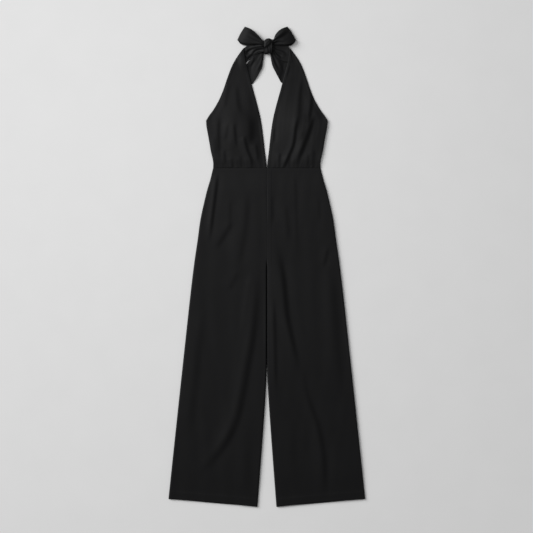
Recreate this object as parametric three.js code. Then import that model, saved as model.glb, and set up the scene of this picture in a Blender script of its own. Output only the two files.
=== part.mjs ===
// A halter-neck jumpsuit with wide legs, laid flat and face up, its neck ties knotted in a bow.
// Millimetres. X runs across, Y up the garment, Z away from the surface that it lies on.
// Left and right are the wearer's, so the left side is +X.
import * as THREE from "three";

// Driving sizes.
const inseam = 798; // crotch to hem, down the inside leg
const rise = 285; // waist seam to crotch
const halfLength = 767.5; // origin to the hem's lowest corner, and to the top of the bow
const cloth = 1.2; // one layer
const gap = 0.3; // between pieces that are sewn together or lie on each other
const hemDepth = 30; // turned-up hem
const hemExtra = 0.6; // what the turned-up layer adds to the wall
const hemStep = 4; // over which the hem's extra thickness ends
const crotchY = inseam - halfLength;
const waistY = crotchY + rise;
const onBack = cloth + gap; // underside of a piece that lies on a single flat layer

// Side seam of the trousers: down from the waist seam, out from the centre line.
const trouserSide = [
  { down: 0, out: 172 },
  { down: 38, out: 181.4 },
  { down: 70, out: 191 },
  { down: 102, out: 199 },
  { down: 166, out: 212.8 },
  { down: 230, out: 221.6 },
  { down: 294, out: 231 },
  { down: 358, out: 239.2 },
  { down: 614, out: 267.4 },
  { down: 870, out: 294.9 },
  { down: 1058, out: 314.7 },
];

// Centre front seam and, below the crotch, the inside leg.
const trouserInner = [
  { down: 0, out: gap / 2 },
  { down: rise, out: gap / 2 },
  { down: 560, out: 0.2 },
  { down: 640, out: 0.6 },
  { down: 710, out: 3.8 },
  { down: 806, out: 9.9 },
  { down: 934, out: 19.2 },
  { down: rise + inseam, out: 30.5 },
];
const hemOuterDown = trouserSide[trouserSide.length - 1].down;
const hemInnerDown = rise + inseam;
const hemBow = 2; // how far the hem curves below a straight line

// Front bodice: up from the waist seam, out from the centre line.
const bodiceSide = [
  { up: 0, out: 172 },
  { up: 12, out: 171.4 },
  { up: 58, out: 180 },
  { up: 90, out: 185.4 },
  { up: 122, out: 191.2 },
  { up: 138, out: 193.8 },
  { up: 152, out: 194.6 },
];
const armhole = [
  { up: 152, out: 194.6 },
  { up: 170, out: 183.4 },
  { up: 186, out: 171.5 },
  { up: 202, out: 161.9 },
  { up: 218, out: 153.1 },
  { up: 250, out: 139.5 },
  { up: 282, out: 128.5 },
  { up: 314, out: 117 },
  { up: 330, out: 110 },
  { up: 346, out: 101.4 },
  { up: 365, out: 88.5 },
  { up: 378, out: 79 },
  { up: 387, out: 75.6 },
];
const neckline = [
  { up: 0, out: 0.3 },
  { up: 26, out: 2.7 },
  { up: 58, out: 6.7 },
  { up: 90, out: 10.2 },
  { up: 122, out: 14.1 },
  { up: 154, out: 19 },
  { up: 186, out: 26.2 },
  { up: 218, out: 34.7 },
  { up: 250, out: 43.7 },
  { up: 268, out: 48.5 },
  { up: 304, out: 57.9 },
  { up: 330, out: 65.1 },
  { up: 349, out: 69.1 },
  { up: 378, out: 73.1 },
  { up: 387, out: 74 },
];
const underarmUp = armhole[0].up;
const shoulderUp = armhole[armhole.length - 1].up;

// Largest folds of the trouser fronts. Each crest runs from x0, down0 through x1, down1 to x2, down2.
const legFolds = [
  { x0: -54, down0: 480, x1: -84, down1: 702, x2: -188, down2: 938, high: 5.5, wide: 19 },
  { x0: -84, down0: 110, x1: -94, down1: 230, x2: -118, down2: 370, high: 2.4, wide: 17 },
  { x0: -112, down0: 168, x1: -142, down1: 222, x2: -176, down2: 262, high: 3, wide: 14 },
  { x0: -176, down0: 30, x1: -184, down1: 110, x2: -196, down2: 205, high: 3.4, wide: 9 },
  { x0: 20, down0: 290, x1: 52, down1: 440, x2: 84, down2: 622, high: 5, wide: 13 },
  { x0: 12, down0: 420, x1: 15, down1: 560, x2: 20, down2: 705, high: 3.2, wide: 8 },
  { x0: 128, down0: 700, x1: 146, down1: 830, x2: 170, down2: 1040, high: 3.6, wide: 16 },
  { x0: 204, down0: 240, x1: 192, down1: 280, x2: 172, down2: 322, high: 2.6, wide: 12 },
  { x0: -226, down0: 420, x1: -240, down1: 640, x2: -262, down2: 880, high: 2.2, wide: 12 },
  { x0: 216, down0: 420, x1: 232, down1: 620, x2: 256, down2: 860, high: 2.2, wide: 13 },
];

// How the trouser fronts rise from their seams: how high, and over what distances they do so.
// atHem is the share of that height which is left at the hem.
const trouserLoft = { high: 4.2, over: 4, waist: 60, crotch: 60, plain: 12, hem: 110, atHem: 0.6 };

// Gathers and folds of the bodice fronts, the same way, with up measured from the waist seam.
const bodiceFolds = [
  { x0: -54, up0: 2, x1: -68, up1: 52, x2: -78, up2: 92, high: 4.4, wide: 8 },
  { x0: -33, up0: 2, x1: -37, up1: 40, x2: -42, up2: 78, high: 3, wide: 6 },
  { x0: -104, up0: 2, x1: -106, up1: 62, x2: -108, up2: 120, high: 3.2, wide: 9 },
  { x0: -138, up0: 2, x1: -140, up1: 46, x2: -138, up2: 92, high: 2.6, wide: 9 },
  { x0: -158, up0: 24, x1: -159, up1: 84, x2: -158, up2: 140, high: 2.6, wide: 8 },
  { x0: -128, up0: 190, x1: -118, up1: 236, x2: -104, up2: 290, high: 2.6, wide: 12 },
  { x0: -92, up0: 180, x1: -98, up1: 232, x2: -96, up2: 280, high: 2, wide: 9 },
  { x0: 47, up0: 2, x1: 71, up1: 64, x2: 80, up2: 132, high: 5, wide: 9 },
  { x0: 30, up0: 2, x1: 34, up1: 26, x2: 36, up2: 52, high: 3, wide: 6 },
  { x0: 88, up0: 2, x1: 114, up1: 72, x2: 140, up2: 142, high: 5.4, wide: 11 },
  { x0: 132, up0: 140, x1: 135, up1: 178, x2: 132, up2: 212, high: 3.6, wide: 9 },
  { x0: 90, up0: 168, x1: 98, up1: 208, x2: 102, up2: 262, high: 3.2, wide: 10 },
  { x0: 142, up0: 2, x1: 148, up1: 34, x2: 158, up2: 70, high: 2.4, wide: 9 },
];
const bust = { x: 96, up: 138, across: 46, along: 62, high: 7 }; // fullness of each front
const bodiceLoft = { high: 1.4, over: 5, waist: 12, plain: 11, from: 230, to: 310 };
const sideLoft = { high: 2.6, over: 70, from: 130, to: 250 }; // what the side seams add to it
const strapOverTail = { high: 1.9, from: 306, to: 330, over: 4 }; // room for a bow tail under the strap
const strapOverTie = { from: 236, to: 256 }; // where the straps rise onto the ties under them
const bodiceOverWing = { from: 12, over: 14 }; // where the fronts come down off the low back
const wing = { lowest: 3, below: 1, scoop: 2.3 }; // low back, from below the underarm to centre back

// Neck ties behind the fold at the shoulder: an upper edge (a) and a lower edge (b), flat on the surface.
// The knot sits a little to the left of the centre line, so the two differ.
const rightTie = [
  { ax: -75, aUp: 384, bx: -123, bUp: 297, z: 0 },
  { ax: -70, aUp: 356, bx: -98, bUp: 272, z: 0 },
  { ax: -68.5, aUp: 328, bx: -72, bUp: 264, z: 0 },
  { ax: -60, aUp: 335.5, bx: -49, bUp: 267.5, z: 0 },
  { ax: -51, aUp: 346.5, bx: -37, bUp: 282, z: 0 },
  { ax: -41, aUp: 357.5, bx: -24, bUp: 304, z: 0 },
  { ax: -30, aUp: 368.5, bx: -14, bUp: 326, z: 0 },
  { ax: -15, aUp: 378, bx: -12, bUp: 346, z: 0 },
  { ax: 0, aUp: 383, bx: -6, bUp: 370, z: 0 },
];
const leftTie = [
  { ax: 75, aUp: 384, bx: 123, bUp: 297, z: 0 },
  { ax: 71, aUp: 356, bx: 98, bUp: 274, z: 0 },
  { ax: 66, aUp: 346, bx: 72, bUp: 268, z: 0 },
  { ax: 62, aUp: 346, bx: 47.5, bUp: 273.5, z: 0 },
  { ax: 54, aUp: 353, bx: 39.5, bUp: 285, z: 0 },
  { ax: 44, aUp: 362, bx: 27.5, bUp: 307, z: 0 },
  { ax: 34, aUp: 371, bx: 17.5, bUp: 328, z: 0 },
  { ax: 24, aUp: 378, bx: 13.4, bUp: 346, z: 0 },
  { ax: 9, aUp: 384, bx: 9, bUp: 368, z: 0 },
];

// Bow tails, from inside the knot to the free end. The right one ends under the strap, the left one on it.
const rightTail = [
  { ax: 0, aUp: 388, bx: 0, bUp: 373, z: 7 },
  { ax: -10, aUp: 389.5, bx: -10, bUp: 371.5, z: 6.7 },
  { ax: -28, aUp: 394.5, bx: -28, bUp: 366, z: 4 },
  { ax: -47, aUp: 395, bx: -44, bUp: 361, z: 2.3 },
  { ax: -62, aUp: 391.5, bx: -56, bUp: 353, z: onBack },
  { ax: -72.5, aUp: 382, bx: -71.5, bUp: 341, z: onBack },
];
const leftTail = [
  { ax: 9, aUp: 389, bx: 9, bUp: 376, z: 7.2 },
  { ax: 20, aUp: 390, bx: 20, bUp: 375, z: 6.9 },
  { ax: 32, aUp: 392.5, bx: 31, bUp: 353, z: 4.8 },
  { ax: 48, aUp: 391.5, bx: 45, bUp: 345, z: 4 },
  { ax: 60, aUp: 389.5, bx: 63, bUp: 340, z: 4.8 },
  { ax: 70, aUp: 386, bx: 81.5, bUp: 339, z: 4.8 },
];

// Pleats across a tie or tail: where they rise and fall, as shares of its length.
const tiePleats = { count: 2, high: 1.2, rise: { from: 0.5, to: 0.75 }, fall: { from: 0.78, to: 0.9 } };
const tailPleats = { count: 2, high: 1, rise: { from: -1, to: 0 }, fall: { from: 0.15, to: 0.7 } };

// Bow loops, from inside the knot to the outer fold: upper and lower edge, middle height, half the opening.
const rightLoop = [
  { ax: 0, aUp: 404.5, bx: 0, bUp: 390, z: 10.6, half: 2.3 },
  { ax: -10, aUp: 404.9, bx: -10, bUp: 390.5, z: 10.6, half: 2.3 },
  { ax: -22, aUp: 417, bx: -30, bUp: 393.5, z: 10.4, half: 3.4 },
  { ax: -36, aUp: 431.5, bx: -54, bUp: 395, z: 9.8, half: 4.6 },
  { ax: -52, aUp: 443.5, bx: -75, bUp: 398.5, z: 8.4, half: 5.2 },
  { ax: -70.5, aUp: 451.6, bx: -94.5, bUp: 409, z: 5.6, half: 4.4 },
];
const leftLoop = [
  { ax: 9, aUp: 409.5, bx: 9, bUp: 394, z: 10.8, half: 2.2 },
  { ax: 20, aUp: 410, bx: 20, bUp: 393.5, z: 10.8, half: 2.2 },
  { ax: 27, aUp: 424, bx: 37, bUp: 393.5, z: 11, half: 3.4 },
  { ax: 37, aUp: 436.5, bx: 58, bUp: 393, z: 10.6, half: 4.6 },
  { ax: 51, aUp: 445.5, bx: 77, bUp: 396.5, z: 8.8, half: 5.2 },
  { ax: 66.5, aUp: 451.6, bx: 93.5, bUp: 408, z: 5.6, half: 4.4 },
];
const loopFold = 0.06; // share of a loop's length that the outer fold takes to turn
const loopBulge = 1.6; // how far the outer fold curves out between its corners
const loopCrown = 0.5; // how much fuller a loop is along its middle than at its edges

// The knot: a band wrapped round the middle of the bow, a barrel seen from above.
const knot = {
  x: 4.6,
  up: 389.5,
  z: 10.4,
  length: 27,
  halfWidth: 26,
  halfWidthAtEnd: 22.5,
  halfHeight: 8.6,
  heightAtEnd: 0.86, // share of halfHeight
  wall: 1.8,
  lean: 0.2,
  crease: 0.5,
  boxiness: 3, // 2 gives an ellipse
};

const clamp = (value) => Math.min(1, Math.max(0, value));
const mix = (a, b, share) => a + (b - a) * share;
const ease = (value) => {
  const t = clamp(value);
  return t * t * (3 - 2 * t);
};
const step = ({ from, to }, at) => ease((at - from) / (to - from));

// A table's column at any value of its key column, as a smooth curve that never overshoots its rows.
function read(table, key, column, at) {
  const last = table.length - 1;
  let i = 0;
  while (i < last - 1 && at > table[i + 1][key]) i += 1;
  const slope = (j) => (table[j + 1][column] - table[j][column]) / (table[j + 1][key] - table[j][key]);
  const tangent = (j) => {
    if (j === 0) return slope(0);
    if (j === last) return slope(last - 1);
    const product = slope(j - 1) * slope(j);
    return product <= 0 ? 0 : (2 * product) / (slope(j - 1) + slope(j));
  };
  const span = table[i + 1][key] - table[i][key];
  const t = clamp((at - table[i][key]) / span);
  const start = table[i][column];
  const end = table[i + 1][column];
  const bend = (1 - t) * tangent(i) * span - t * tangent(i + 1) * span;
  return mix(start, end, ease(t)) + t * (1 - t) * bend;
}

// A fold's crest, as points along the curve through its three places.
function crest(fold, key) {
  const places = [0, 1, 2].map((i) => new THREE.Vector2(fold[`x${i}`], fold[`${key}${i}`]));
  return new THREE.SplineCurve(places).getPoints(16);
}

// How high a list of folds stands at a point: rounded ridges that die away at both ends.
function foldHeight(folds, x, along) {
  return folds.reduce((sum, fold) => {
    let near = Infinity;
    let at = 0;
    for (let i = 1; i < fold.crest.length; i += 1) {
      const a = fold.crest[i - 1];
      const b = fold.crest[i];
      const t = clamp(((x - a.x) * (b.x - a.x) + (along - a.y) * (b.y - a.y)) / a.distanceToSquared(b));
      const far = Math.hypot(x - mix(a.x, b.x, t), along - mix(a.y, b.y, t));
      if (far < near) {
        near = far;
        at = (i - 1 + t) / (fold.crest.length - 1);
      }
    }
    return sum + fold.high * Math.exp(-((near / fold.wide) ** 2)) * fold.taper(at);
  }, 0);
}

// A fold fades in and out along its length. A gather starts at nearly its full height, at the waist seam.
const bothEnds = (t) => Math.sin(Math.PI * mix(0.08, 0.92, t)) ** 0.8;
const upwards = (t) => step({ from: -0.04, to: 0.08 }, t) * (1 - step({ from: 0.45, to: 1 }, t));
const gatherStart = 10; // a bodice fold that starts lower than this above the seam is a gather
const trouserCrests = legFolds.map((fold) => ({ ...fold, crest: crest(fold, "down"), taper: bothEnds }));
const bodiceCrests = bodiceFolds.map((fold) => ({
  ...fold,
  crest: crest(fold, "up"),
  taper: fold.up0 < gatherStart ? upwards : bothEnds,
}));

// Shares from 0 to 1, closer together towards both ends.
function shares(count) {
  const crowding = 0.35;
  return Array.from({ length: count + 1 }, (_, i) => {
    const even = i / count;
    return mix(even, 0.5 - 0.5 * Math.cos(Math.PI * even), crowding);
  });
}
const evenly = (count) => Array.from({ length: count + 1 }, (_, i) => i / count);

// A closed wall between two grids of points, rows by columns. A ring's columns run round and meet.
function wallGeometry(under, over, isRing = false) {
  const rows = under.length;
  const columns = under[0].length;
  const points = [...under.flat(), ...over.flat()];
  const id = (layer, row, column) => (layer * rows + row) * columns + (column % columns);
  const index = [];
  const quad = (a, b, c, d) => index.push(a, b, c, a, c, d);
  const lastRow = rows - 1;
  const lastColumn = isRing ? columns : columns - 1;
  for (let r = 0; r < lastRow; r += 1) {
    for (let c = 0; c < lastColumn; c += 1) {
      quad(id(1, r, c), id(1, r, c + 1), id(1, r + 1, c + 1), id(1, r + 1, c));
      quad(id(0, r, c), id(0, r + 1, c), id(0, r + 1, c + 1), id(0, r, c + 1));
    }
  }
  for (let c = 0; c < lastColumn; c += 1) {
    quad(id(0, 0, c), id(0, 0, c + 1), id(1, 0, c + 1), id(1, 0, c));
    quad(id(0, lastRow, c), id(1, lastRow, c), id(1, lastRow, c + 1), id(0, lastRow, c + 1));
  }
  for (let r = 0; r < lastRow && !isRing; r += 1) {
    quad(id(0, r, 0), id(1, r, 0), id(1, r + 1, 0), id(0, r + 1, 0));
    quad(id(0, r, lastColumn), id(0, r + 1, lastColumn), id(1, r + 1, lastColumn), id(1, r, lastColumn));
  }
  const volume = index.reduce((sum, _, i) => {
    if (i % 3) return sum;
    const [a, b, c] = [points[index[i]], points[index[i + 1]], points[index[i + 2]]];
    return sum + a.dot(new THREE.Vector3().crossVectors(b, c));
  }, 0);
  const geometry = new THREE.BufferGeometry().setFromPoints(points);
  geometry.setIndex(volume < 0 ? index.reverse() : index);
  geometry.computeVertexNormals();
  return geometry;
}

// A laid wall: flat(u, v) gives x and y, height(x, y, u, v) the underside, thick(x, y) the wall.
function laidWall(across, along, flat, height, thick = () => cloth) {
  const under = along.map((v) =>
    across.map((u) => {
      const [x, y] = flat(u, v);
      return new THREE.Vector3(x, y, height(x, y, u, v));
    }),
  );
  const over = under.map((row) => row.map((p) => new THREE.Vector3(p.x, p.y, p.z + thick(p.x, p.y))));
  return wallGeometry(under, over);
}

// A wall of even thickness, half on each side of a grid of points.
function wallAbout(grid, thick, isRing = false) {
  const columns = grid[0].length;
  const pick = (r, c) => {
    const row = grid[Math.min(grid.length - 1, Math.max(0, r))];
    return row[isRing ? (c + columns) % columns : Math.min(columns - 1, Math.max(0, c))];
  };
  const offset = (share) =>
    grid.map((row, r) =>
      row.map((p, c) => {
        const alongColumns = new THREE.Vector3().subVectors(pick(r, c + 1), pick(r, c - 1));
        const alongRows = new THREE.Vector3().subVectors(pick(r + 1, c), pick(r - 1, c));
        return p.clone().addScaledVector(alongColumns.cross(alongRows).normalize(), share * thick);
      }),
    );
  return wallGeometry(offset(-0.5), offset(0.5), isRing);
}

// Where a share u across and v up a trouser leg lies. side is -1 for the right leg and 1 for the left.
function legPoint(side, u, v) {
  const outerDown = mix(hemOuterDown, 0, v);
  const innerDown = mix(hemInnerDown, 0, v);
  const x = mix(read(trouserSide, "down", "out", outerDown), read(trouserInner, "down", "out", innerDown), u);
  const bow = hemBow * Math.sin(Math.PI * u) * (1 - v);
  return [side * x, waistY - mix(outerDown, innerDown, u) - bow];
}

// How far the cloth has risen, this far in from an edge where two layers are sewn.
const roll = (far, high, wide) => high * (1 - Math.exp(-far / wide));

// Underside of a trouser front: low at its seams, lofted between them, with its folds.
// The centre front seam, above the crotch, joins no back and stays higher.
function legFrontHeight(x, y) {
  const down = waistY - y;
  const out = Math.abs(x);
  const fromSide = Math.max(0, read(trouserSide, "down", "out", down) - out);
  const fromInner = Math.max(0, out - read(trouserInner, "down", "out", down));
  const centre = trouserLoft.over * (1 - ease((down - rise) / trouserLoft.crotch));
  const fromHem = ease((hemInnerDown - down) / trouserLoft.hem);
  const high = trouserLoft.high * mix(trouserLoft.atHem, 1, fromHem);
  const loft = roll(Math.min(fromSide, fromInner + centre), high, trouserLoft.over);
  const seams = ease(fromSide / trouserLoft.plain) * ease((fromInner + centre) / trouserLoft.plain);
  return onBack + (loft + foldHeight(trouserCrests, x, down) * seams) * ease(down / trouserLoft.waist);
}

function trouserFront(side) {
  const thick = (x, y) => {
    const hemLine = waistY - mix(hemInnerDown, hemOuterDown, clamp(Math.abs(x) / trouserSide.at(-1).out));
    return cloth + hemExtra * (1 - ease((y - hemLine - hemDepth) / hemStep));
  };
  const along = [0, 0.013, 0.027, 0.033, ...evenly(25).map((t) => mix(0.055, 1, t))];
  return laidWall(shares(20), along, (u, v) => legPoint(side, u, v), legFrontHeight, thick);
}

function trouserBack(side) {
  return laidWall(evenly(4), evenly(16), (u, v) => legPoint(side, u, v), () => 0);
}

// Where the outer edge of a bodice front lies: the side seam, then the armhole and the shoulder fold.
const bodiceOuter = (up) => read(up <= underarmUp ? bodiceSide : armhole, "up", "out", up);

function bodicePoint(side, u, up) {
  return [side * mix(read(neckline, "up", "out", up), bodiceOuter(up), u), waistY + up];
}

// Top edge of the low back, which runs from the underarm down to the waist seam at centre back.
const wingTop = (out) => mix(wing.lowest, underarmUp - wing.below, clamp(out / armhole[0].out) ** wing.scoop);

// Underside of a bodice front. It lies on the low back, then on the surface and on the tie.
// It is fuller at the bust and gathered at the waist.
function bodiceHeight(x, y) {
  const up = y - waistY;
  const out = Math.abs(x);
  const fromOuter = Math.max(0, bodiceOuter(up) - out);
  const fromNeck = Math.max(0, out - read(neckline, "up", "out", up));
  const overTie = step(strapOverTie, up);
  const overWing = 1 - ease((up - wingTop(out) - bodiceOverWing.from) / bodiceOverWing.over);
  const overTail = strapOverTail.high * step(strapOverTail, up) * ease(fromOuter / strapOverTail.over);
  const fromBust = Math.hypot((out - bust.x) / bust.across, (up - bust.up) / bust.along);
  const full = bust.high * Math.exp(-(fromBust ** 2));
  const edges = ease(fromOuter / bodiceLoft.plain) * ease(fromNeck / bodiceLoft.plain);
  const atSide = sideLoft.high * ease(fromNeck / sideLoft.over) * (1 - step(sideLoft, up));
  const plain = roll(Math.min(fromOuter, fromNeck), bodiceLoft.high + atSide, bodiceLoft.over);
  const loft = plain * (1 - step(bodiceLoft, up));
  const gathers = foldHeight(bodiceCrests, x, up);
  const fromWaist = ease(up / bodiceLoft.waist);
  return onBack * Math.max(overWing, overTie) + overTail + (loft + (full + gathers) * edges) * fromWaist;
}

function bodiceFront(side) {
  const below = evenly(9).map((t) => mix(gap, underarmUp, t));
  const above = evenly(14).slice(1).map((t) => mix(underarmUp, shoulderUp, t));
  const across = shares(16);
  return laidWall(across, [...below, ...above], (u, up) => bodicePoint(side, u, up), bodiceHeight);
}

function bodiceBack(side) {
  const point = (u, v) => {
    const up = mix(gap, wingTop(u * armhole[0].out), v);
    return [side * mix(gap / 2, bodiceOuter(up), u), waistY + up];
  };
  return laidWall(evenly(12), evenly(4), point, () => 0);
}

// Where something rests that lies on a bodice front, a little clear of its facets.
const facetClear = 0.2;
const onStrap = (x, y) => bodiceHeight(x, y) + cloth + gap + facetClear;

// A smooth section of a band at a share of the way along its table.
function section(table, share) {
  const numbered = table.map((row, i) => ({ ...row, at: i / (table.length - 1) }));
  const value = (column) => read(numbered, "at", column, share);
  return {
    a: [value("ax"), waistY + value("aUp")],
    b: [value("bx"), waistY + value("bUp")],
    z: value("z"),
    half: table[0].half === undefined ? 0 : value("half"),
  };
}

// A tie or tail: flat at its wide end, and drawn into small pleats where it nears the knot.
function band(table, rows, pleats, rest = () => 0) {
  const flat = (u, v) => {
    const { a, b } = section(table, v);
    return [mix(a[0], b[0], u), mix(a[1], b[1], u)];
  };
  const height = (x, y, u, v) => {
    const pleat = 0.5 - 0.5 * Math.cos(2 * Math.PI * pleats.count * u);
    const share = step(pleats.rise, v) * (1 - step(pleats.fall, v));
    return Math.max(section(table, v).z, rest(x, y)) + pleats.high * share * pleat;
  };
  return laidWall(evenly(6), evenly(rows), flat, height);
}

// A bow loop: out along the top layer, round the outer fold and back along the lower one.
function loop(table) {
  const turns = 6;
  const layer = evenly(9).map((t) => ({ s: t * (1 - loopFold), side: 1 }));
  const round = evenly(turns).slice(1, -1).map((t) => ({
    s: 1 - loopFold * (1 - Math.sin(Math.PI * t)),
    side: Math.cos(Math.PI * t),
  }));
  const back = [...layer].reverse().map(({ s }) => ({ s, side: -1 }));
  const grid = [...layer, ...round, ...back].map(({ s, side }) => {
    const { a, b, z, half } = section(table, s);
    return evenly(6).map((u) => {
      const bulge = loopBulge * Math.sin(Math.PI * u) * s ** 4 * Math.sign(a[0]);
      const crown = 1 + loopCrown * Math.sin(Math.PI * u) * Math.sin(Math.PI * s);
      return new THREE.Vector3(mix(a[0], b[0], u) + bulge, mix(a[1], b[1], u), z + half * side * crown);
    });
  });
  return wallAbout(grid, cloth);
}

// The knot's band, as a ring whose axis runs across the garment.
function knotRing() {
  const around = 24;
  const grid = evenly(8).map((w) => {
    const dx = (w - 0.5) * knot.length;
    const barrel = Math.sin(Math.PI * w) ** 0.7;
    const wide = mix(knot.halfWidthAtEnd, knot.halfWidth, barrel) - knot.wall / 2;
    const high = mix(knot.heightAtEnd, 1, barrel) * knot.halfHeight - knot.wall / 2;
    return Array.from({ length: around }, (_, i) => {
      const angle = (2 * Math.PI * i) / around;
      const [c, s] = [Math.cos(angle), Math.sin(angle)];
      const reach = (Math.abs(c) ** knot.boxiness + Math.abs(s) ** knot.boxiness) ** (-1 / knot.boxiness);
      const wrinkle = reach * (1 - (knot.crease / wide) * (0.5 + 0.5 * Math.cos(4 * Math.PI * w + angle)));
      return new THREE.Vector3(
        knot.x + dx,
        waistY + knot.up + knot.lean * dx + wide * wrinkle * c,
        knot.z + high * wrinkle * s,
      );
    });
  });
  return wallAbout(grid, knot.wall, true);
}

const crepe = { color: 0x1f1f1f, roughness: 0.85, metalness: 0 };
const garment = new THREE.Group();
function add(name, geometry) {
  const mesh = new THREE.Mesh(geometry, new THREE.MeshStandardMaterial(crepe));
  mesh.name = name;
  garment.add(mesh);
}

const right = -1;
const left = 1;
add("trouser_front_right", trouserFront(right));
add("trouser_front_left", trouserFront(left));
add("trouser_back_right", trouserBack(right));
add("trouser_back_left", trouserBack(left));
add("bodice_front_right", bodiceFront(right));
add("bodice_front_left", bodiceFront(left));
add("bodice_back_right", bodiceBack(right));
add("bodice_back_left", bodiceBack(left));
add("neck_tie_right", band(rightTie, 16, tiePleats));
add("neck_tie_left", band(leftTie, 16, tiePleats));
add("bow_tail_right", band(rightTail, 9, tailPleats));
add("bow_tail_left", band(leftTail, 9, tailPleats, onStrap));
add("bow_loop_right", loop(rightLoop));
add("bow_loop_left", loop(leftLoop));
add("bow_knot", knotRing());

export default garment;
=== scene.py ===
import math

import bpy
import numpy as np
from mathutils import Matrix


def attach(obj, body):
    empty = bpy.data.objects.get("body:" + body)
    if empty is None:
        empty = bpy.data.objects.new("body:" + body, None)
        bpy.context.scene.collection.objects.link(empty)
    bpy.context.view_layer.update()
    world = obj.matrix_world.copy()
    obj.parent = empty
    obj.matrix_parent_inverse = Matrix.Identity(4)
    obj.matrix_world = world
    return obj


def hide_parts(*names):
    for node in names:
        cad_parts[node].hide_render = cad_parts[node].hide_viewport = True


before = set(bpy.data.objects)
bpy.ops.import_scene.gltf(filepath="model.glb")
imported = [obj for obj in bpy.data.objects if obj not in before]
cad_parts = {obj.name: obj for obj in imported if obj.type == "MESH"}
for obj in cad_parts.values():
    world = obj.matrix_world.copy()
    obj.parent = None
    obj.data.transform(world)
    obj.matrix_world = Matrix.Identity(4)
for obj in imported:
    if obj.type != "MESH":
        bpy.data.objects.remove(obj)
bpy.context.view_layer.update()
bpy.ops.object.select_all(action="DESELECT")
print("frame loaded with", len(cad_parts), "nodes")

# Tables are in millimetres, and right and left are the wearer's, so left is +X.
mm = 0.001
right, left = -1, 1
sideName = {right: "right", left: "left"}

garment = {
    "waistY": 315.5,  # the waist seam, from the middle of the whole garment
    "wall": 1.2,  # height of one layer's top over what it lies on
    "onBack": 1.5,  # where the second layer starts
    "cloth": 0.8,  # thickness of the shell that is shown
    "seamGap": 0.3,
}
waistY = garment["waistY"]
lowTop = garment["onBack"] + garment["wall"]
lowestBand = garment["cloth"] + 0.1  # a tie's or tail's upper side is never lower
smoothAngle = math.radians(50)
# how far hidden and small pieces are shifted on the flat cloth, away from the fronts
flatShift = {"back": 900, "band": 400, "loop": 600, "knot": 800}


# Camera, straight down on the garment as in the photo; wide is what the picture spans in metres
camera = {"lens": 85, "sensor": 36, "wide": 1.7056, "x": -0.0011, "y": 0.0008}
cameraHeight = camera["wide"] * camera["lens"] / camera["sensor"]
bpy.ops.object.camera_add(location=(camera["x"], camera["y"], cameraHeight), rotation=(0, 0, 0))
shot = bpy.context.active_object
shot.name = "camera"
shot.data.lens = camera["lens"]
shot.data.sensor_width = camera["sensor"]
bpy.context.scene.camera = shot
bpy.context.scene.view_settings.view_transform = "Standard"
print("camera set")


# Curves, folds and grids that every panel uses
def ease(t):
    t = np.clip(t, 0.0, 1.0)
    return t * t * (3 - 2 * t)


def between(start, end, at):
    return ease((at - start) / (end - start))


def mix(a, b, t):
    return a + (b - a) * t


def readTable(rows, at, column=1):
    # a smooth curve through the rows that never overshoots them
    keys = np.array([row[0] for row in rows], float)
    values = np.array([row[column] for row in rows], float)
    slopes = np.diff(values) / np.diff(keys)
    product = slopes[:-1] * slopes[1:]
    total = np.where(product > 0, slopes[:-1] + slopes[1:], 1.0)
    tangents = np.concatenate([slopes[:1], np.where(product > 0, 2 * product / total, 0), slopes[-1:]])
    i = np.clip(np.searchsorted(keys, at) - 1, 0, len(keys) - 2)
    span = keys[i + 1] - keys[i]
    t = np.clip((at - keys[i]) / span, 0, 1)
    bend = (1 - t) * tangents[i] * span - t * tangents[i + 1] * span
    return mix(values[i], values[i + 1], ease(t)) + t * (1 - t) * bend


def foldRise(folds, x, along, fade=0.3):
    # ridge stands up on the path; drop is a slope down towards +X, lit on its left and dark on it
    total = np.zeros_like(x)
    for path, ridge, drop, wide in folds:
        steps = np.linspace(0, len(path) - 1, 8 * (len(path) - 1) + 1)
        numbered = [(i, *point) for i, point in enumerate(path)]
        crestX, crestAlong = (readTable(numbered, steps, column) for column in (1, 2))
        near = np.full_like(x, 1e9)
        signed = np.zeros_like(x)
        share = np.zeros_like(x)
        for i in range(len(steps) - 1):
            dx, dy = crestX[i + 1] - crestX[i], crestAlong[i + 1] - crestAlong[i]
            t = np.clip(((x - crestX[i]) * dx + (along - crestAlong[i]) * dy) / (dx * dx + dy * dy), 0, 1)
            offX, offY = x - crestX[i] - t * dx, along - crestAlong[i] - t * dy
            far = np.hypot(offX, offY)
            closer = far < near
            near = np.where(closer, far, near)
            signed = np.where(closer, np.sign((offX * dy - offY * dx) * np.sign(dy)) * far, signed)
            share = np.where(closer, (i + t) / (len(steps) - 1), share)
        # the lit side rises slowly and the dark side falls fast
        d = signed / wide
        bell = np.exp(-(np.where(d < 0, d / 2.2, d) ** 2))
        fall = np.tanh(1.2 * d) * np.exp(-((d / 3) ** 2))
        ends = between(0, fade, share) * (1 - between(1 - fade, 1, share))
        ends *= np.exp(-np.clip(near / wide - 4, 0, None))
        total += (ridge * bell - drop * fall) * ends
    return total


def ripple(x, y, seed, wave, high, spread=0.5):
    # slight unevenness: long waves in a few fixed directions, mostly across the garment
    random = np.random.default_rng(seed)
    total = np.zeros_like(x)
    for _ in range(8):
        angle = random.uniform(-spread, spread)
        length = wave * random.uniform(0.6, 1.7)
        phase = random.uniform(0, 2 * math.pi)
        total += np.sin((x * math.cos(angle) + y * math.sin(angle)) * 2 * math.pi / length + phase)
    return high * total / 3


def unevenness(rows, side, x, along):
    # in each row: stretch along the garment, seed, what the side adds to the seed, wave, height
    return sum(
        ripple(x, along * stretch, seed + sideSeed * side, wave, high)
        for stretch, seed, sideSeed, wave, high in rows
    )


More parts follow.
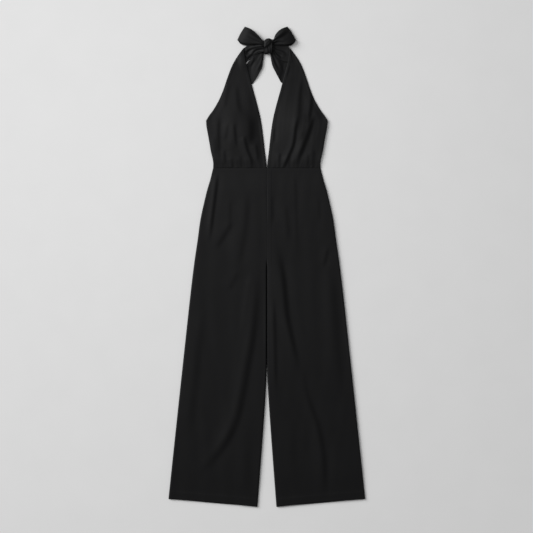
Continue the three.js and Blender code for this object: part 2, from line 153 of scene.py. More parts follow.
def roundEdge(far, radius):
    # rises like a quarter circle from an edge
    return np.sqrt(1 - (1 - np.clip(far / radius, 0, 1)) ** 2)


def crowded(t, share=0.5):
    # closer together towards both ends
    return mix(t, 0.5 - 0.5 * np.cos(math.pi * t), share)


def clothGrid(name, columns, rows, place, crowd=0.5):
    # place turns shares across and along into points, and into the flat cloth's own coordinates
    bpy.ops.object.select_all(action="DESELECT")
    bpy.ops.mesh.primitive_grid_add(x_subdivisions=columns, y_subdivisions=rows, size=2)
    piece = bpy.context.active_object
    piece.name = name
    piece.data.name = name
    mesh = piece.data
    points = np.empty(len(mesh.vertices) * 3)
    mesh.vertices.foreach_get("co", points)
    shares = points.reshape(-1, 3)[:, :2] / 2 + 0.5
    u, v = (crowded(shares[:, i], crowd) for i in (0, 1))
    moved, flat = place(u, v)
    mesh.vertices.foreach_set("co", (np.stack(moved, 1) * mm).ravel())
    corners = np.empty(len(mesh.loops), int)
    mesh.loops.foreach_get("vertex_index", corners)
    mesh.uv_layers[0].data.foreach_set("uv", (np.stack(flat, 1) * mm)[corners].ravel())
    mesh.update()
    return piece


def turnOver():
    bpy.ops.object.mode_set(mode="EDIT")
    bpy.ops.mesh.select_all(action="SELECT")
    bpy.ops.mesh.flip_normals()
    bpy.ops.object.mode_set(mode="OBJECT")


def faceUp(piece):
    # a laid panel's own side is its upper one
    normals = np.empty(len(piece.data.polygons) * 3)
    piece.data.polygons.foreach_get("normal", normals)
    if normals.reshape(-1, 3)[:, 2].sum() < 0:
        turnOver()


def faceUpAtTop(piece):
    # a folded ribbon's outside is the side that faces up where it is highest
    best = max(piece.data.polygons, key=lambda face: face.center.z)
    if best.normal.z < 0:
        turnOver()


def giveWall(piece, thick=garment["cloth"]):
    bpy.context.view_layer.objects.active = piece
    wall = piece.modifiers.new("wall", "SOLIDIFY")
    wall.thickness = thick * mm
    wall.offset = -1
    bpy.ops.object.modifier_apply(modifier="wall")
    bpy.ops.object.shade_smooth_by_angle(angle=smoothAngle)


def laidPanel(name, columns, rows, place, crowd=0.5, thick=garment["cloth"]):
    piece = clothGrid(name, columns, rows, place, crowd)
    faceUp(piece)
    giveWall(piece, thick)
    return piece


def dress(piece, node, material):
    piece.data.materials.clear()
    piece.data.materials.append(material)
    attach(piece, "root")
    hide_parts(node)


# Materials
def linear(hexColour):
    channels = [int(hexColour[i : i + 2], 16) / 255 for i in (1, 3, 5)]
    return [c / 12.92 if c <= 0.04045 else ((c + 0.055) / 1.055) ** 2.4 for c in channels] + [1.0]


def addNode(tree, kind, sockets=None, **settings):
    node = tree.nodes.new(kind)
    for name, value in settings.items():
        setattr(node, name, value)
    for name, value in (sockets or {}).items():
        if isinstance(value, bpy.types.NodeSocket):
            tree.links.new(value, node.inputs[name])
        else:
            node.inputs[name].default_value = value
    return node


def blankMaterial(name):
    material = bpy.data.materials.new(name)
    material.use_nodes = True
    tree = material.node_tree
    return material, tree, tree.nodes["Principled BSDF"]


crepe = {
    "black": "#0a0a0b",
    "worn": "#131314",  # where fibres stand up and catch light
    "roughness": 0.56,
    "specular": 0.17,
    "sheen": 0.02,
    "thread": 0.9,  # mm between threads, drawn twice as coarse as the real 0.45
    "pebble": 1.7,  # mm between the crinkles of crepe yarn
    "threadDepth": 0.05,
    "pebbleDepth": 0.09,
}


def blackCrepe():
    # polyester crepe, woven from hard-twisted yarn: matt, pebbly, with a soft sheen at a low angle
    material, tree, surface = blankMaterial("blackWovenCrepe")
    flat = addNode(tree, "ShaderNodeTexCoord").outputs["UV"]
    perMetre = 1 / (crepe["thread"] * mm)
    threads = []
    for direction in ("X", "Y"):
        band = addNode(
            tree, "ShaderNodeTexWave",
            {"Vector": flat, "Scale": perMetre / 20, "Distortion": 1.2, "Detail": 1.0, "Detail Scale": 1.5},
            wave_type="BANDS", bands_direction=direction, wave_profile="SIN",
        )
        threads.append(band.outputs["Fac"])
    weave = addNode(tree, "ShaderNodeMath", {0: threads[0], 1: threads[1]}, operation="MULTIPLY")
    pebble = addNode(
        tree, "ShaderNodeTexNoise",
        {
            "Vector": flat, "Scale": 1 / (crepe["pebble"] * mm), "Detail": 3.0, "Roughness": 0.6,
            "Distortion": 0.4,
        },
    )
    cloud = addNode(
        tree, "ShaderNodeTexNoise", {"Vector": flat, "Scale": 14.0, "Detail": 4.0, "Roughness": 0.55}
    )
    fine = addNode(
        tree, "ShaderNodeBump",
        {"Height": weave.outputs[0], "Strength": 0.55, "Distance": crepe["threadDepth"] * mm},
    )
    bumps = addNode(
        tree, "ShaderNodeBump",
        {
            "Height": pebble.outputs["Fac"], "Strength": 0.8, "Distance": crepe["pebbleDepth"] * mm,
            "Normal": fine.outputs["Normal"],
        },
    )
    fibres = addNode(
        tree, "ShaderNodeMath", {0: cloud.outputs["Fac"], 1: pebble.outputs["Fac"]}, operation="MULTIPLY"
    )
    colour = addNode(
        tree, "ShaderNodeMix",
        {0: fibres.outputs[0], 6: linear(crepe["black"]), 7: linear(crepe["worn"])},
        data_type="RGBA",
    )
    smoothest, roughest = crepe["roughness"] - 0.06, crepe["roughness"] + 0.08
    rough = addNode(
        tree, "ShaderNodeMapRange", {"Value": pebble.outputs["Fac"], "To Min": smoothest, "To Max": roughest}
    )
    tree.links.new(colour.outputs[2], surface.inputs["Base Color"])
    tree.links.new(rough.outputs["Result"], surface.inputs["Roughness"])
    tree.links.new(bumps.outputs["Normal"], surface.inputs["Normal"])
    surface.inputs["Specular IOR Level"].default_value = crepe["specular"]
    surface.inputs["Sheen Weight"].default_value = crepe["sheen"]
    surface.inputs["Sheen Roughness"].default_value = 0.45
    surface.inputs["Sheen Tint"].default_value = linear("#9a9a9f")
    return material


def sewingThread():
    # spun polyester thread: a little smoother and lighter than the cloth
    material, tree, surface = blankMaterial("blackSpunThread")
    place = addNode(tree, "ShaderNodeTexCoord").outputs["Object"]
    twist = addNode(tree, "ShaderNodeTexNoise", {"Vector": place, "Scale": 2500.0, "Detail": 1.0})
    colour = addNode(
        tree, "ShaderNodeMix",
        {0: twist.outputs["Fac"], 6: linear("#0b0b0c"), 7: linear("#161618")},
        data_type="RGBA",
    )
    tree.links.new(colour.outputs[2], surface.inputs["Base Color"])
    surface.inputs["Roughness"].default_value = 0.5
    surface.inputs["Specular IOR Level"].default_value = 0.3
    return material


clothBlack = blackCrepe()
threadBlack = sewingThread()
print("materials made")


# Trousers, each front and back cut from waist seam to hem
trousers = {
    "rise": 285,
    # (down from the waist seam, out from the middle)
    "side": [
        (0, 172), (38, 181.4), (70, 191), (102, 199), (166, 212.8), (230, 221.6), (294, 231), (358, 239.2),
        (614, 267.4), (870, 294.9), (1058, 314.7),
    ],
    "inner": [
        (0, 0.04), (285, 0.04), (560, 0.2), (640, 0.6), (710, 3.8), (806, 9.9), (934, 19.2), (1083, 30.5),
    ],
    "hemBow": {"front": -1.6, "back": 2},  # the front hem lies open a little over the back one
    "loft": 4.4,  # how far the front stands off the back
    "atWaist": {"share": 0.35, "reach": 80},  # share of the loft there, and where it is whole again
    "atHem": {"share": 0.6, "reach": 110},
    "edge": 4,  # radius that the sewn edges turn round
    "edgeTop": 1.2,
    "plain": 13,  # width along the seams that the folds leave free
    "plainTop": 30,
    "crotchBlend": 50,
    "hemDepth": 28,
    "hemThick": 0.55,
    "hemStep": 1.6,  # half the width of the step at the hem's raw edge
    "hemRound": {"radius": 2.5, "drop": 0.5},
    "backTop": 1.0,
    "backShift": 0.6,  # the centre back seam doesn't lie straight under the front one
}
# path of (x, down), ridge, drop, wide
legFolds = [
    ([(-157, 6), (-164, 70), (-174, 150), (-186, 250)], 1.4, 1.0, 5),
    ([(-106, 166), (-136, 216), (-164, 262)], 0, 1.0, 8),
    ([(-116, 90), (-117, 150), (-114, 225)], 0, 0.6, 7),
    ([(-58, 60), (-70, 190), (-92, 330)], 0.4, 0.8, 10),
    ([(-88, 326), (-106, 362), (-124, 396)], 0, 0.6, 9),
    ([(-50, 320), (-68, 405), (-90, 590)], 0.5, -0.7, 12),
    (
        [
            (-28, 300), (-36, 415), (-46, 530), (-64, 635), (-78, 715), (-101, 810), (-137, 881),
            (-180, 936), (-232, 985),
        ],
        2.2, 1.5, 10,
    ),
    ([(-205, 440), (-226, 640), (-252, 880)], 0.8, 0.9, 12),
    ([(-60, 860), (-66, 960), (-70, 1060)], 0.4, 0.6, 13),
    ([(34, 250), (54, 358), (64, 464), (84, 562), (106, 660)], 0.8, 2.2, 7.5),
    ([(24, 220), (44, 330), (58, 430), (84, 580)], 0, 1.5, 19),
    ([(22, 400), (26, 560), (30, 740)], 0.5, 1.1, 5.5),
    (
        [(106, 610), (131, 730), (158, 806), (173, 863), (182, 930), (186, 1000), (187, 1075)],
        0.7, 1.7, 8,
    ),
    ([(17, 80), (18, 130), (19, 185)], 0, 0.6, 6),
    ([(89, 6), (94, 110), (98, 290)], 0, 0.5, 6),
    ([(60, 110), (66, 170), (73, 240)], 0, 0.7, 8),
    ([(164, 90), (167, 130), (168, 180)], 0, 0.4, 6),
    ([(198, 250), (190, 284), (180, 322)], 0, 0.9, 6),
    ([(203, 300), (220, 520), (240, 750)], 0.7, 0.9, 12),
    ([(76, 780), (84, 900), (90, 1050)], 0.5, 0.7, 14),
]
legRipples = [(0.3, 5, 0, 90, 0.22), (0.5, 8, 1, 38, 0.09)]
stitch = {
    "length": 2.6, "pitch": 3.6, "thick": 0.42, "bevel": 0.08,
    "in": 2.5,  # how far below the hem's raw edge
    "clear": 7,  # from the first and last stitch to the leg's seams
    "groove": {"wide": 1.6, "deep": 0.35},
    "pucker": {"high": 0.11, "reach": 12, "wave": 1.9, "drift": 1.5, "driftWave": 23},
}
frontSeam = {
    "wide": 1.7, "deep": 0.42,
    "topShare": 0.4, "topFade": (45, 80),  # shallower near the waist seam, and again further down
    "lowShare": 0.35, "lowFade": (145, 180),
    "allowance": 14.5,  # shows through as a low step, higher where it is pressed to
    "strip": {right: 0.06, left: 0.24},
    "grow": 20,
}
waistSeam = {
    "wide": 2.2, "deepBelow": 0.4, "deepAbove": 0.35,
    "allowance": 12, "strip": 0.12, "grow": 4,
}


def legPoint(side, layer, u, v):
    # u from the side seam to the middle, v from hem to waist
    hemOuter, hemInner = trousers["side"][-1][0], trousers["inner"][-1][0]
    outerDown, innerDown = hemOuter * (1 - v), hemInner * (1 - v)
    x = mix(readTable(trousers["side"], outerDown), readTable(trousers["inner"], innerDown), u)
    down = mix(outerDown, innerDown, u) + trousers["hemBow"][layer] * np.sin(math.pi * u) * (1 - v)
    return side * x, down


def hemDistance(x, down):
    outer, inner = trousers["side"][-1], trousers["inner"][-1]
    share = np.clip((np.abs(x) - inner[1]) / (outer[1] - inner[1]), 0, 1)
    hemLine = mix(inner[0], outer[0], share) + trousers["hemBow"]["front"] * np.sin(math.pi * share)
    return np.clip(hemLine - down, 0, None)


def legLoft(down, fromHem):
    waist, hem = trousers["atWaist"], trousers["atHem"]
    fromWaist = mix(waist["share"], 1, ease(down / waist["reach"]))
    return trousers["loft"] * fromWaist * mix(hem["share"], 1, ease(fromHem / hem["reach"]))


def legTop(side, x, down):
    # height of the front's upper side
    out = np.abs(x)
    fromSide = np.clip(readTable(trousers["side"], down) - out, 0, None)
    fromInner = np.clip(out - readTable(trousers["inner"], down), 0, None)
    fromHem = hemDistance(x, down)
    aboveCrotch = 1 - between(0, trousers["crotchBlend"], down - trousers["rise"])
    # body of the leg
    sideRise = roundEdge(fromSide, trousers["edge"])
    innerRise = mix(roundEdge(fromInner, trousers["edge"]), 1, aboveCrotch)
    plain = ease(fromSide / trousers["plain"]) * mix(ease(fromInner / trousers["plain"]), 1, aboveCrotch)
    plain *= ease(down / trousers["plainTop"])
    folds = foldRise(legFolds, x, down)
    uneven = unevenness(legRipples, side, x, down)
    bodyTop = lowTop + legLoft(down, fromHem) + (folds + uneven) * plain
    z = mix(trousers["edgeTop"], bodyTop, sideRise * innerRise)
    # the turned-up hem, its stitched line and the puckers that the thread draws
    fromRawEdge = fromHem - trousers["hemDepth"]
    z += trousers["hemThick"] * (1 - between(-trousers["hemStep"], trousers["hemStep"], fromRawEdge))
    groove, pucker = stitch["groove"], stitch["pucker"]
    line = np.exp(-(((fromRawEdge + stitch["in"]) / groove["wide"]) ** 2))
    near = np.exp(-np.abs(fromRawEdge) / pucker["reach"]) * plain
    wave = np.sin(x / pucker["wave"] + pucker["drift"] * np.sin(x / pucker["driftWave"]))
    z += -groove["deep"] * line + pucker["high"] * near * wave
    z -= trousers["hemRound"]["drop"] * (1 - roundEdge(fromHem, trousers["hemRound"]["radius"]))
    # centre front seam, its allowance pressed to the wearer's left
    seam = np.exp(-((out / frontSeam["wide"]) ** 2)) * aboveCrotch
    strip = between(frontSeam["allowance"] + 1, frontSeam["allowance"] - 1, out)
    z += aboveCrotch * ease(down / frontSeam["grow"]) * (frontSeam["strip"][side] * strip)
    topShare = mix(frontSeam["topShare"], 1, between(*frontSeam["topFade"], down))
    lowShare = mix(1, frontSeam["lowShare"], between(*frontSeam["lowFade"], down))
    z -= frontSeam["deep"] * seam * topShare * lowShare
    # waist seam
    z -= waistSeam["deepBelow"] * np.exp(-((down / waistSeam["wide"]) ** 2))
    strip = between(waistSeam["allowance"] + 1.5, waistSeam["allowance"] - 1.5, down)
    z += waistSeam["strip"] * strip * ease(down / waistSeam["grow"])
    return z


def trouserFront(side):
    def place(u, v):
        x, down = legPoint(side, "front", u, v)
        return (x, waistY - down, legTop(side, x, down)), (x, waistY - down)

    return laidPanel(f"front_leg_{sideName[side]}", 86, 300, place)


def trouserBack(side):
    def place(u, v):
        # a hair inside the front's outline at the side and the hem, and a hair past the waist seam
        x, down = legPoint(side, "back", mix(0.004, 1, u), mix(0.0012, 1.0004, v))
        x = x + trousers["backShift"] * ease((u - 0.5) / 0.5)
        z = np.full_like(x, trousers["backTop"])
        return (x, waistY - down, z), (x + flatShift["back"], waistY - down)

    return laidPanel(f"back_leg_{sideName[side]}", 30, 90, place)


def hemStitches(side):
    # one line of stitches that holds the turned-up hem, a little sunk in the cloth
    outer, inner = trousers["side"][-1], trousers["inner"][-1]
    count = int((outer[1] - inner[1] - 2 * stitch["clear"]) / stitch["pitch"])
    lean = math.atan2(outer[0] - inner[0], outer[1] - inner[1]) * -side
    bpy.ops.object.select_all(action="DESELECT")
    bpy.ops.mesh.primitive_cylinder_add(
        vertices=8, radius=stitch["thick"] / 2 * mm, depth=stitch["length"] * mm,
        rotation=(math.pi / 2, 0, math.pi / 2 + lean),
    )
    first = bpy.context.active_object
    bpy.ops.object.transform_apply(rotation=True)
    bpy.ops.object.mode_set(mode="EDIT")
    bpy.ops.mesh.select_all(action="SELECT")
    bpy.ops.mesh.bevel(offset=stitch["bevel"] * mm, segments=1)
    bpy.ops.object.mode_set(mode="OBJECT")
    outs = inner[1] + stitch["clear"] + (np.arange(count) + 0.5) * stitch["pitch"]
    downs = hemDistance(outs, np.zeros(count)) - trousers["hemDepth"] + stitch["in"]
    tops = legTop(side, side * outs, downs)
    for i in range(count):
        place = (side * outs[i], waistY - downs[i], tops[i])
        copy = first if i == 0 else first.copy()
        if i > 0:
            copy.data = first.data.copy()
            bpy.context.scene.collection.objects.link(copy)
            copy.select_set(True)
        copy.location = [value * mm for value in place]
    bpy.context.view_layer.objects.active = first
    bpy.ops.object.join()
    bpy.ops.object.transform_apply(location=True)
    first.name = f"hem_stitches_{sideName[side]}"
    first.data.name = first.name
    first.data.materials.append(threadBlack)
    bpy.ops.object.shade_smooth_by_angle(angle=smoothAngle)
    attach(first, "root")
    return first


for side in (right, left):
    name = sideName[side]
    stitches = hemStitches(side)
    dress(
        trouserFront(side), f"trouser_front_{name}", clothBlack,
    )
    dress(trouserBack(side), f"trouser_back_{name}", clothBlack)
    print("trouser leg", name, "made")


# Bodice, each front running up into its strap
bodice = {
    # (up from the waist seam, out from the middle)
    "side": [(0, 172), (12, 171.4), (58, 180), (90, 185.4), (122, 191.2), (138, 193.8), (152, 194.6)],
    "armhole": [
        (152, 194.6), (170, 183.4), (186, 171.5), (202, 161.9), (218, 153.1), (250, 139.5), (282, 128.5),
        (314, 117), (330, 110), (346, 101.4), (365, 88.5), (376, 80), (382, 75.6),
    ],
    "neckline": [
        (0, 0.3), (26, 2.7), (58, 6.7), (90, 10.2), (122, 14.1), (154, 19), (186, 26.2), (218, 34.7),
        (250, 43.7), (268, 48.5), (304, 57.9), (330, 65.1), (349, 69.1), (376, 72.9), (382, 73.8),
    ],
    "rowsBelow": 0.42,  # share of the grid's rows that lie below the underarm
    "loft": 1.4,
    "sideLoft": 2.9,  # more away from the neckline, low on the side
    "sideReach": 70,
    "sideFade": (130, 250),
    "strapFade": (230, 310),
    "atWaist": {"share": 0.4, "reach": 30},
    "edge": 2.6,
    "plain": 11,  # width along the edges that the folds leave free
    "bust": {"x": 96, "up": 138, "across": 46, "along": 62, "high": 5},
    "turnIn": 9,  # width of the turned and faced edge
    "turnHigh": 0.25,
    # what the fronts lie on
    "wing": {"lowest": 3, "below": 1, "scoop": 2.3, "in": 0.4, "out": 193.6, "clear": 0.9},
    "offWing": 50,
    "overTie": (200, 290),
    "inside": 30,
    "overTail": {"high": 1.9, "from": (290, 335), "edge": 3},
    "tuck": {"lift": 4.5, "from": (300, 350), "wide": (10, 28)},
}
underarm, shoulder = bodice["armhole"][0][0], bodice["armhole"][-1][0]
# path of (x, up), ridge, drop, wide
bodiceFolds = [
    ([(-50, 178), (-48, 128), (-49, 104), (-57, 66)], 0.5, 2.6, 10),
    ([(-74, 104), (-70, 90), (-62, 58), (-48, 21), (-40, -18)], 0.5, 1.5, 5),
    ([(-35, 82), (-31, 54), (-27, 14)], 0.2, 0.9, 5),
    ([(-104, 146), (-101, 112), (-96, 58)], 0, 1.1, 5),
    ([(-123, 146), (-127, 116), (-134, 82)], 0, 0.7, 5.5),
    ([(-152, 170), (-154, 110), (-151, 10)], 0.3, 1.2, 6.5),
    ([(-136, 62), (-134, 40), (-132, 4)], 0, 0.8, 5),
    ([(-165, 106), (-164, 70), (-162, 36)], 0, 0.7, 7),
    ([(-116, 276), (-127, 234), (-136, 188)], 0.2, 0.9, 7),
    ([(-98, 276), (-92, 216), (-80, 164)], 0.3, 1.0, 8),
    ([(-86, 44), (-84, 20), (-82, -10)], 0.2, 0.5, 5),
    ([(-112, 38), (-111, 18), (-110, -10)], 0.2, 0.5, 5),
    ([(113, 292), (107, 236), (102, 165), (94, 112)], 0.2, 1.0, 6),
    ([(102, 172), (93, 130), (86, 79), (61, 18), (46, -20)], 0.5, 1.9, 4.5),
    ([(156, 172), (145, 148), (134, 114), (119, 74), (105, 38), (92, 0)], 0.5, 2.6, 6),
    ([(150, 256), (144, 214), (138, 172), (132, 128)], 0.2, 1.6, 5),
    ([(24, 132), (23, 106), (21, 76)], 0, 0.8, 4),
    ([(43, 52), (40, 26), (37, -8)], 0.2, 0.9, 4.5),
    ([(124, 176), (124, 157), (123, 138)], 0, 0.6, 9),
    ([(116, 118), (114, 104), (110, 84)], 0, 0.6, 7),
    ([(73, 330), (68, 312), (61, 288)], 0, 0.8, 5),
    ([(132, 48), (130, 24), (128, -10)], 0.2, 0.6, 5),
    ([(152, 64), (149, 32), (146, -8)], 0.2, 0.7, 6),
    ([(74, 44), (71, 20), (69, -8)], 0.2, 0.5, 4.5),
]
bodiceRipples = [(0.4, 21, 0, 60, 0.2), (0.4, 24, 1, 26, 0.08)]
gathers = {"count": 17, "from": 20, "to": 162, "high": 0.5, "wide": 3.8, "short": 14, "long": 48}


def bodiceOuter(up):
    return np.where(up <= underarm, readTable(bodice["side"], up), readTable(bodice["armhole"], up))


def bodiceEdges(x, up):
    # how far a point lies from the outer edge and from the neckline
    out = np.abs(x)
    fromOuter = np.clip(bodiceOuter(up) - out, 0, None)
    fromNeck = np.clip(out - readTable(bodice["neckline"], up), 0, None)
    return out, fromOuter, fromNeck


def wingTop(out):
    wing = bodice["wing"]
    share = np.clip(out / bodice["armhole"][0][1], 0, 1) ** wing["scoop"]
    return mix(wing["lowest"], underarm - wing["below"], share)


def smallGathers(side, x, up):
    # uneven little gathers that the waist seam draws in, each fading upwards
    random = np.random.default_rng(31 + side)
    total = np.zeros_like(x)
    for i in range(gathers["count"]):
        start = mix(gathers["from"], gathers["to"], (i + random.uniform(0.15, 0.85)) / gathers["count"])
        length = random.uniform(gathers["short"], gathers["long"])
        high = gathers["high"] * random.uniform(0.5, 1.2)
        lean = random.uniform(0.05, 0.3)
        d = (np.abs(x) - start - lean * up) / (gathers["wide"] * random.uniform(0.8, 1.4))
        total += high * np.exp(-d * d) * (1 - between(0.2 * length, length, up))
    return total


def bodiceBase(side, x, up):
    # what the fronts lie on: near their edges the low back, the surface or the tie, and the bow's tail
    out, fromOuter, fromNeck = bodiceEdges(x, up)
    overTie = between(*bodice["overTie"], up)
    overWing = 1 - between(0, bodice["offWing"], up - wingTop(out))
    inside = ease(np.minimum(fromOuter, fromNeck) / bodice["inside"])
    tail, tuck = bodice["overTail"], bodice["tuck"]
    overTail = tail["high"] * between(*tail["from"], up) * ease(fromOuter / tail["edge"])
    # over the tucked-in tail the strap's inner edge stands up from it
    nearNeck = 1 - between(*tuck["wide"], fromNeck)
    overTail += tuck["lift"] * (side == right) * between(*tuck["from"], up) * nearNeck
    return garment["onBack"] * mix(np.maximum(overWing, overTie), 1, inside) + overTail


def bodiceTop(side, x, up):
    out, fromOuter, fromNeck = bodiceEdges(x, up)
    bust, waist = bodice["bust"], bodice["atWaist"]
    across, along = (out - bust["x"]) / bust["across"], (up - bust["up"]) / bust["along"]
    full = bust["high"] * np.exp(-(across ** 2) - along ** 2)
    plain = ease(fromOuter / bodice["plain"]) * ease(fromNeck / bodice["plain"])
    fromWaist = ease(up / waist["reach"])
    folds = foldRise(bodiceFolds, x, up) + smallGathers(side, x, up)
    uneven = unevenness(bodiceRipples, side, x, up)
    sideShare = ease(fromNeck / bodice["sideReach"])
    loft = bodice["loft"] + bodice["sideLoft"] * sideShare * (1 - between(*bodice["sideFade"], up))
    loft *= (1 - between(*bodice["strapFade"], up)) * mix(waist["share"], 1, fromWaist)
    bodyTop = garment["wall"] + loft + (full * fromWaist + folds * ease(up / 4 + 0.4) + uneven) * plain
    edge = roundEdge(np.minimum(fromOuter, fromNeck), bodice["edge"])
    z = bodiceBase(side, x, up) + mix(garment["cloth"], bodyTop, edge)
    # turned edges along neckline and armhole, and the waist seam
    nearEdge = np.where(up > underarm, np.minimum(fromNeck, fromOuter), fromNeck)
    strip = between(bodice["turnIn"] + 1, bodice["turnIn"] - 1, nearEdge)
    z += bodice["turnHigh"] * strip * ease(nearEdge / 2)
    z -= waistSeam["deepAbove"] * np.exp(-((up / waistSeam["wide"]) ** 2))
    return z


def bodiceFront(side):
    def place(u, v):
        split = bodice["rowsBelow"]
        up = np.where(
            v < split,
            mix(garment["seamGap"], underarm, v / split),
            mix(underarm, shoulder, (v - split) / (1 - split)),
        )
        x = side * mix(readTable(bodice["neckline"], up), bodiceOuter(up), u)
        return (x, waistY + up, bodiceTop(side, x, up)), (x, waistY + up)

    return laidPanel(f"front_bodice_{sideName[side]}", 80, 170, place, crowd=0.3)


def bodiceBack(side):
    def place(u, v):
        x = mix(bodice["wing"]["in"], bodice["wing"]["out"], u)
        up = mix(garment["seamGap"], wingTop(x), v)
        limit = bodiceOuter(up) - bodice["wing"]["clear"]
        x = side * np.minimum(x, limit)
        z = np.full_like(x, trousers["backTop"])
        return (x, waistY + up, z), (x + flatShift["back"], waistY + up)

    return laidPanel(f"back_bodice_{sideName[side]}", 60, 40, place)


for side in (right, left):
    name = sideName[side]
    # its waist edge is gathered; the flat here is the panel's own outline, narrower than the real cut
    dress(
        bodiceFront(side), f"bodice_front_{name}", clothBlack,
    )
    dress(bodiceBack(side), f"bodice_back_{name}", clothBlack)
    print("bodice", name, "made")


# Neck ties and the bow. a is the upper edge of each section and b its lower one.
def sectionAt(rows, share):
    numbered = [(i / (len(rows) - 1), *row) for i, row in enumerate(rows)]
    return [readTable(numbered, share, column) for column in range(1, len(rows[0]) + 1)]


def bandFlat(rows, u, v):
    # the band's own length and width, measured down its middle
    middles = np.array([((r[0] + r[2]) / 2, (r[1] + r[3]) / 2) for r in rows])
    length = np.hypot(*np.diff(middles, axis=0).T).sum()
    width = np.mean([math.hypot(r[0] - r[2], r[1] - r[3]) for r in rows])
    return (u * width + flatShift["band"], v * length)


def bandRim(u, width, radius=3):
    # both long edges of a band turn down
    return roundEdge(np.minimum(u, 1 - u) * width, radius)


def pleatWave(count, u, drift=0):
    return 0.5 - 0.5 * np.cos(2 * math.pi * count * u + drift)


neckTie = {
    # ax, aUp, bx, bUp from the fold at the shoulder to the knot
    right: [
        (-74, 381, -121.5, 297), (-71, 350, -98, 272), (-68.5, 328, -72, 264), (-60.5, 339, -49, 267.5),
        (-52, 349, -37, 282), (-42, 359.5, -24, 304), (-33, 368, -14, 326), (-16, 378, -12, 346),
        (0, 383, -9, 372),
    ],
    left: [
        (74, 381, 121.5, 297), (71, 356, 97, 274), (66, 346, 72, 268), (62, 346, 47, 273.5),
        (54, 353, 39.5, 285), (44, 362, 27.5, 307), (34, 371, 17.5, 328), (24, 378, 13.4, 346),
        (9, 384, 10, 370),
    ],
    # pairs are where something starts and ends, as shares of the length
    "top": 1.0,
    "width": 60,
    "pleats": 3,
    "high": 0.6,
    "drift": 2.2,
    "pleatsIn": (0.42, 0.72),
    "pleatsOut": (0.8, 0.92),
    "arch": 0.5,  # where the band narrows towards the knot
    "archIn": (0.42, 0.8),
    "lift": 3.4,  # how far its inner edge stands up, clear of the strap
    "liftIn": (0.38, 0.62),
    "outerLift": 0.6,
    "uneven": 0.25,
    "foldsIn": (0.25, 0.4),
    "foldsOut": (0.88, 0.97),
    "underTail": {"along": (0.52, 0.66), "across": (0.15, 0.5)},
}
# path of (x, up), ridge, drop, wide
tieFolds = [
    ([(-16, 378), (-27, 366.5), (-37, 352), (-47, 339), (-58, 318)], 2.2, 0.8, 3.6),
    ([(-8, 376), (-15.5, 358), (-17.5, 338), (-32, 308)], 0.7, 0.5, 3),
    ([(-48, 352), (-56, 336), (-66, 312), (-72, 290)], 0.3, 1.2, 5),
    ([(12, 378), (19, 356), (25, 338), (37, 312)], 0.3, 1.3, 3.4),
    ([(26, 378), (36, 352), (46, 326), (58, 296)], 0.3, 0.8, 5),
]


def neckTiePiece(side):
    rows = neckTie[side]

    def place(u, v):
        ax, aUp, bx, bUp = sectionAt(rows, v)
        x, up = mix(ax, bx, u), mix(aUp, bUp, u)
        share = between(*neckTie["pleatsIn"], v) * (1 - between(*neckTie["pleatsOut"], v))
        pleat = pleatWave(neckTie["pleats"], u, neckTie["drift"] * v)
        rim = bandRim(u, neckTie["width"])
        z = neckTie["top"] + neckTie["high"] * share * pleat * rim
        z += neckTie["arch"] * between(*neckTie["archIn"], v) * np.sin(math.pi * mix(0.05, 0.95, u ** 2))
        z += neckTie["lift"] * between(*neckTie["liftIn"], v) * mix(neckTie["outerLift"], 1, u)
        z += neckTie["uneven"] * share * ripple(x, up, 41 + side, 16, 0.5)
        # the folds start once the band is clear of the strap that lies on it
        clear = between(*neckTie["foldsIn"], v) * (1 - between(*neckTie["foldsOut"], v))
        under = neckTie["underTail"]
        clear *= 1 - between(*under["along"], v) * (1 - between(*under["across"], u))
        z = np.maximum(z + foldRise(tieFolds, x, up, fade=0.2) * clear * rim, lowestBand)
        return (x, waistY + up, z), bandFlat(rows, u, v)

    return laidPanel(f"tie_{sideName[side]}", 44, 110, place, crowd=0.3)


bowTail = {
    # ax, aUp, bx, bUp, z of the underside, from inside the knot to the free end
    right: [
        (0, 388, 0, 373, 11), (-10, 390.5, -10, 371.5, 11), (-28, 395, -28, 367, 6.2),
        (-47, 395, -44, 357.5, 3.2), (-62, 391, -56, 347, 1.0), (-76, 382, -72, 331, 0.4),
    ],
    left: [
        (9, 391, 9, 376, 6.8), (20, 395, 20, 374, 5.9), (32, 395, 31, 352, 4.4), (48, 393, 45, 345, 3.8),
        (60, 390.5, 63, 340, 4.6), (71.5, 386.5, 81.5, 339, 4.8),
    ],
    "width": 40,
    "wall": 0.9,  # as a share of the cloth's
    "onStrap": 0.4,
    "pleats": 3,
    "high": 1.3,
    "pleatsOut": (0.25, 0.85),
    "tilt": 2.4,  # how much higher the upper edge lies, under the loop
    "tiltIn": (0, 0.3),
    "foldsIn": (0.1, 0.25),
    "foldsOut": (0.85, 1),
}
# path of (x, up), ridge, drop, wide
tailFolds = [
    ([(-4, 382), (-20, 381), (-36, 377), (-49, 363.5), (-58, 355), (-66, 347)], 1.2, 2.4, 3.6),
    ([(-4, 386), (-24, 385), (-44, 382), (-60, 376), (-72, 362)], 0.5, 2.6, 3.4),
    ([(-4, 378), (-22, 374), (-36, 365), (-50, 353.5)], 0.6, 1.2, 3),
    ([(12, 384), (26, 381), (44, 374), (66, 362)], 0.6, 1.3, 4),
    ([(12, 380), (24, 371), (34, 361), (48, 350)], 0.6, 1.5, 3.5),
]


